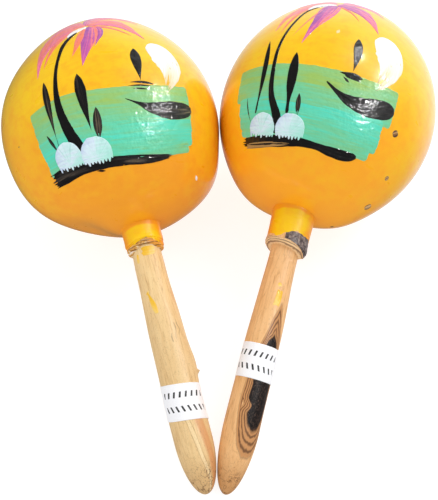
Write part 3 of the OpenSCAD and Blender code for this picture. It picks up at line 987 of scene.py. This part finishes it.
def right_marks(m, d, angle):
    """Distance from the black heart, collar heartwood and end grain of the right one, the last with a little
    painted shade along the grip; negative on the lip.
    """
    middle = 44.0
    up = np.where(d > middle, (d - middle) / 34, (middle - d) / 26.8)
    side = np.abs(away_from(angle, 50)) * m.grip_r / 7.6
    power = np.where(d > middle, 1.25, 2.2)
    level = (up ** power + side ** power) ** (1 / power)
    level = level - 0.1 * ease((middle - d) / 10)
    core = np.hypot((d - middle) / 19.5, side / 0.62)
    level = np.where(d > middle, np.minimum(level, 0.6 * core ** 2), level)
    level = level + 0.2 * np.exp(-((d - 34.5) / 1.8) ** 2) * ease(away_from(angle, 52) / 0.25) * (side < 0.9)
    lip = m.above_lip(d, angle)
    turned = away_from(angle, 0)
    layers = 0.9 + 2.0 * ease((turned - 0.5) / 1.2) + 1.6 * ease((turned - 1.8) / 0.8)
    heart = ease((lip - layers) / 0.3) * ease((110.5 - d) / 1.4) * ease(away_from(angle, -30) / 0.3)
    heart = heart * ease(-away_from(angle, 101) / 0.2)
    on_lip = ease((lip + 0.1) / 0.2) * ease((layers - lip) / 0.3)
    on_lip = on_lip * ease((2.3 - np.abs(away_from(angle, 90))) / 0.4)
    # The third mark carries painted shade along the grip at a share of 0.1.
    return np.stack([level, heart, np.where(on_lip > 0.5, -0.2 - lip * 0.5, ends(d, 0.1))], -1)


# Marks and wood of each handle
HANDLES = {"left": (left_marks, LEFT_WOOD), "right": (right_marks, RIGHT_WOOD)}


def collar_paint(m):
    """The gourd's enamel carried down over the collar, with a ragged lower edge."""
    cols, rows = 200, 64
    turn = around(cols)
    ragged = 0.5 * np.sin(turn * 5 + 0.6) + 0.35 * np.sin(turn * 11 + 1.1) + 0.3 * np.sin(turn * 23)
    edge, runs = EDGES[m.side]
    edge = edge + 0.5 * ragged
    for at, wide, drop in runs:
        edge = edge - drop * np.exp(-(away_from(turn, at) / wide) ** 2)
    top = m.reach - m.gourd_half + 3.0
    share = np.linspace(0, 1, rows)[:, None]
    d = edge + (top - edge) * share ** 1.3
    rim = ease((d - edge) / 0.5)
    lump = 0.05 * (noise(np.cos(turn) * 6 + d * 0.5, np.sin(turn) * 6 + d * 0.3, 5) - 0.5)
    surface = m.stick_radius(d, turn)
    outer = lathe(surface - 0.12 + (0.12 + 0.14 + lump) * rim, turn, m.reach - d)
    inner = lathe(surface - 0.4, turn, m.reach - d)
    marks = np.zeros(outer.shape)
    marks[..., 0] = 0.7 * ease((d - top + 4 + 0.6 * noise(turn * 3, 0, 4)) / 1.6)
    solid = Solid()
    solid.film(outer, inner, marks, wrap=True)
    solid.build(m.side + "_collar_enamel", m, m.stick_at, COLLAR_ENAMEL)


# Lower edge of the enamel: distance from the tip, and runs as angle, angular width, drop
EDGES = {
    "left": (103.9, [(88, 0.6, -1.9), (18, 0.4, 1.3), (100, 0.12, 0.4), (250, 0.4, 1.5)]),
    "right": (107.6, [(115, 0.3, 1.2), (230, 0.5, 1.0), (60, 0.55, -2.4), (10, 0.35, -1.6)]),
}


def neck_bead(m):
    """Fillet of glue and enamel in the corner between the collar and the gourd."""
    cols, rows = 160, 14
    turn = around(cols)
    bend = np.linspace(0, 1, rows)[:, None]
    collar = m.stick_radius(m.reach - m.gourd_half + 1.5, turn)
    wide = 0.7 + 0.2 * np.sin(turn * 3 + 1) + 0.12 * np.sin(turn * 7)
    r = collar - 0.6 + (wide + 0.6) * ease(bend) ** 1.4
    x, y = r * np.cos(turn), r * np.sin(turn)
    off_axis = x - m.gourd_x
    u = unit(np.stack([off_axis, y, np.sqrt(m.gourd_half ** 2 - off_axis ** 2 - y ** 2)], -1))
    wall = (u * m.gourd_radius(u)[..., None])[..., 2]
    z = wall + 0.7 * (1 - ease(bend)) ** 1.5 - 0.06
    top = np.stack([x, y, z], -1)
    low = np.stack([x, y, wall - 0.5], -1)
    solid = Solid()
    solid.film(top, low, np.full(top.shape, 0.6), wrap=True)
    solid.build(m.side + "_neck_bead", m, m.stick_at, COLLAR_ENAMEL,
                replaces=[m.side + "_neck_glue"])


# Splashes of enamel on the bare wood, as x round from the top line, distance from the tip and width
SPLASHES = {
    "left": [
        line((-4.7, 83.2, 0.8), (-4, 80.8, 1.4), (-2.9, 76.8, 2.7), (-2.1, 72.4, 1.9), dry=0.45),
        line((-5.5, 82.6, 0.9), (-4.5, 81.8, 1.2), (-3.7, 83.6, 0.9)),
        line((-3.4, 100.9, 3.8), (-1, 100.7, 4.6), (2, 100.7, 4.6), (5.2, 101, 3.4), dry=0.5,
             ragged=(1.6, 2)),
        line((-5.2, 100.6, 1.3), (-5.4, 99, 1.8), (-5.7, 96, 2), dry=0.2),
    ],
    "right": [
        line((2.8, 83.8, 2.9), (2.7, 80, 3.3), (2.3, 75.6, 3.2), dry=0.2, ragged=(0.8, 0.8)),
        line((1.5, 86.8, 1.2), (1.9, 85.6, 2.2), (2.2, 84.6, 1.6), dry=0.75),
    ],
}


def splashes(m):
    """Small splashes of the gourd's enamel on the handle."""
    strokes = [dict(stroke, thick=0.08, tint=(0.3, 0.9), ends=(0.8, 0.8), step=0.2)
               for stroke in SPLASHES[m.side]]
    painted(m, "splashes", strokes, SPLASH_SEED, on_handle=True)


def label(m):
    """Paper label bent round the top of the grip, its corners cut round."""
    cols, rows, corner = 80, 40, 0.9
    across = np.linspace(-1, 1, cols)[None, :]
    down = np.linspace(-1, 1, rows)[:, None] * LABEL_H / 2
    inset = np.clip(np.abs(down) - (LABEL_H / 2 - corner), 0, corner)
    half = LABEL_W / 2 - corner + np.sqrt(np.clip(corner ** 2 - inset ** 2, 0, None))
    x = across * half
    d = m.label_from + LABEL_H / 2 + down + LABEL_SLANT[m.side] * x
    lifted = 0.12 * ease((np.abs(x) - LABEL_W / 2 + 3) / 3) * (0.5 + noise(x / 3, d / 3, 9))
    top = m.on_stick(x, d, LABEL_T + 0.02 + lifted)
    under = m.on_stick(x, d, -0.02 + lifted)
    marks = np.stack([x, down + 0 * x, 0 * x], -1)
    solid = Solid()
    solid.film(top, under, marks)
    solid.build(m.side + "_paper_label", m, m.stick_at, PAPER,
                replaces=[m.side + "_label"])


# ------------------------------------------------------------------ seeds

def seeds(m):
    """Slightly dented seeds in rows along the lowest line inside the gourd, each where the frame has one."""
    cols, rings = 24, 13
    inset = WALL + SEED_GAP + SEED_R
    slope = math.asin(-m.z[2])
    lowest = m.gourd_r * math.sin(slope)
    turn = around(cols)
    polar = np.linspace(0.12, math.pi - 0.12, rings)[:, None]
    for row, count in enumerate(SEED_COUNTS):
        station = lowest + (row - (len(SEED_COUNTS) - 1) / 2) * ROW_PITCH
        ring = (m.gourd_r - inset) * math.sqrt(1 - (station / (m.gourd_half - inset)) ** 2)
        spacing = 2 * math.asin((2 * SEED_R + SEED_GAP) / 2 / ring)
        solid = Solid()
        for k in range(count):
            dent = 0.07 * np.exp(-(away_from(turn, 40 * k) / 0.5) ** 2)
            flat = SEED_R * np.sin(polar) * (1 - dent - 0.03 * (1 + np.sin(3 * turn + k + row)))
            thick = -SEED_HALF_T * np.cos(polar) * (0.94 + 0 * turn)
            shape = np.stack([flat * np.cos(turn), thick, flat * np.sin(turn)], -1)
            angle = (k - (count - 1) / 2) * spacing
            c, s = math.cos(angle), math.sin(angle)
            spin = np.array([[c, s, 0], [-s, c, 0], [0, 0, 1]])
            points = (shape + (0, -ring, 0)) @ spin + (0, 0, station)
            solid.capped(points, np.zeros(points.shape))
        kind = "_swirling_seeds" if row % 2 == 0 else "_tossed_seeds"
        solid.build(f"{m.side}_seeds_{row + 1}", m, m.gourd_at, SEED, body=m.side + kind,
                    replaces=[f"{m.side}_seed_row_{row + 1}"])


# ------------------------------------------------------------------ stage, light and camera

FLOOR_HALF = 3.0
FLOOR_DROP = 0.0004


def stage():
    """A pale floor just under the parts."""
    box = Paintbox("floor")
    fine = box.noise(box.node("TexCoord", {}, "Object"), 60.0)
    pale = {0: fine, 6: (0.33, 0.33, 0.335, 1), 7: (0.3, 0.3, 0.305, 1)}
    box.finish(Base_Color=box.node("Mix", pale, 2, data_type="RGBA"), Roughness=0.85,
               Emission_Color=(1, 1, 1, 1), Emission_Strength=0.8)
    mesh = bpy.data.meshes.new("floor")
    corners = [(x * FLOOR_HALF, y * FLOOR_HALF, 0) for x, y in ((-1, -1), (1, -1), (1, 1), (-1, 1))]
    mesh.from_pydata(corners, [], [(0, 1, 2, 3)])
    mesh.materials.append(box.material)
    floor = bpy.data.objects.new("floor", mesh)
    floor.location.z = -FLOOR_DROP
    floor.visible_glossy = False
    bpy.context.scene.collection.objects.link(floor)


def stand(name, data, right, up, back, at):
    """A lamp or camera at a place, with its own axes along right, up and back."""
    holder = bpy.data.objects.new(name, data)
    bpy.context.scene.collection.objects.link(holder)
    holder.matrix_world = Matrix([[right[k], up[k], back[k], at[k]] for k in range(3)] + [[0, 0, 0, 1]])
    return holder


def softbox(name, at, look_at, size, power):
    """A square area light at a place, turned towards another."""
    lamp = bpy.data.lights.new(name, "AREA")
    lamp.shape = "SQUARE"
    lamp.size = size
    lamp.energy = power
    back = unit(np.array(at, float) - np.array(look_at, float))
    side = unit(np.cross((0, 0, 1), back))
    return stand(name, lamp, side, np.cross(back, side), back, at)


# Brightness of the white surround as it lights the object, as polished surfaces mirror it, and of
# the bright panel behind and to the right that their edges mirror
AMBIENT = 0.75
MIRRORED = 0.1
PANEL = 1.1
PANEL_AT = (0.5, 0.85, -0.1)
# Large soft lamps: name, place, size, power
SOFT_LAMPS = [("key", (0.55, 0.35, 0.9), 0.7, 5.7), ("fill", (-0.6, -0.5, 0.8), 0.8, 2.0)]
SOFT_LAMPS_FACE = (0, 0.03, 0.04)
# Small lamps that only sparkle on the varnish: place, size, power
GLINTS = [((0.173, -0.088, 0.240), 0.014, 0.35), ((0.377, 0.076, 0.383), 0.03, 1.3),
          ((0.120, 0.082, 0.226), 0.012, 0.06)]
GLINTS_FACE = (0, 0.05, 0.05)


def light():
    """An even white surround, a large soft key from the right, a fill and small glinting lamps."""
    world = bpy.data.worlds.new("studio")
    nodes = Nodes(world)
    toward = {0: nodes.node("TexCoord", {}, "Generated"), 1: unit(PANEL_AT)}
    facing = nodes.node("VectorMath", toward, "Value", operation="DOT_PRODUCT")
    panel = nodes.node("MapRange", {0: facing, 1: 0.35, 2: 0.95, 3: MIRRORED, 4: PANEL},
                       interpolation_type="SMOOTHSTEP")
    glossy = nodes.node("LightPath", {}, "Is Glossy Ray")
    level = nodes.node("MapRange", {0: glossy, 3: AMBIENT, 4: panel})
    nodes.set(nodes.tree.nodes["Background"], {"Color": (1, 1, 1, 1), "Strength": level})
    bpy.context.scene.world = world
    for name, at, size, power in SOFT_LAMPS:
        softbox(name, at, SOFT_LAMPS_FACE, size, power).visible_glossy = False
    for k, (at, size, power) in enumerate(GLINTS):
        softbox(f"glint_{k + 1}", at, GLINTS_FACE, size, power).visible_diffuse = False


# The camera's place, its pitch, yaw and roll in degrees, and its focal length on a sensor, in millimetres
CAMERA_AT = (0.00055, -0.15038, 0.23258)
CAMERA_TURN = (55.03, -0.52, -0.76)
LENS = 39.64
SENSOR = 36.0


def camera():
    """The view down over the butts, from the near side."""
    pitch, yaw, roll = (math.radians(angle) for angle in CAMERA_TURN)
    ahead = np.array([math.sin(yaw) * math.cos(pitch), math.cos(yaw) * math.cos(pitch), -math.sin(pitch)])
    right = np.array([math.cos(yaw), -math.sin(yaw), 0])
    up = np.cross(right, ahead)
    turned = right * math.cos(roll) + up * math.sin(roll)
    up = up * math.cos(roll) - right * math.sin(roll)
    lens = bpy.data.cameras.new("camera")
    lens.sensor_width = SENSOR
    lens.lens = LENS
    lens.clip_start = 0.01
    bpy.context.scene.camera = stand("camera", lens, turned, up, -ahead, CAMERA_AT)


for side in SIZES:
    maraca = Maraca(side)
    gourd(maraca)
    painting(maraca)
    handle(maraca)
    collar_paint(maraca)
    neck_bead(maraca)
    splashes(maraca)
    label(maraca)
    seeds(maraca)
stage()
light()
camera()
bpy.context.scene.view_settings.view_transform = "Standard"
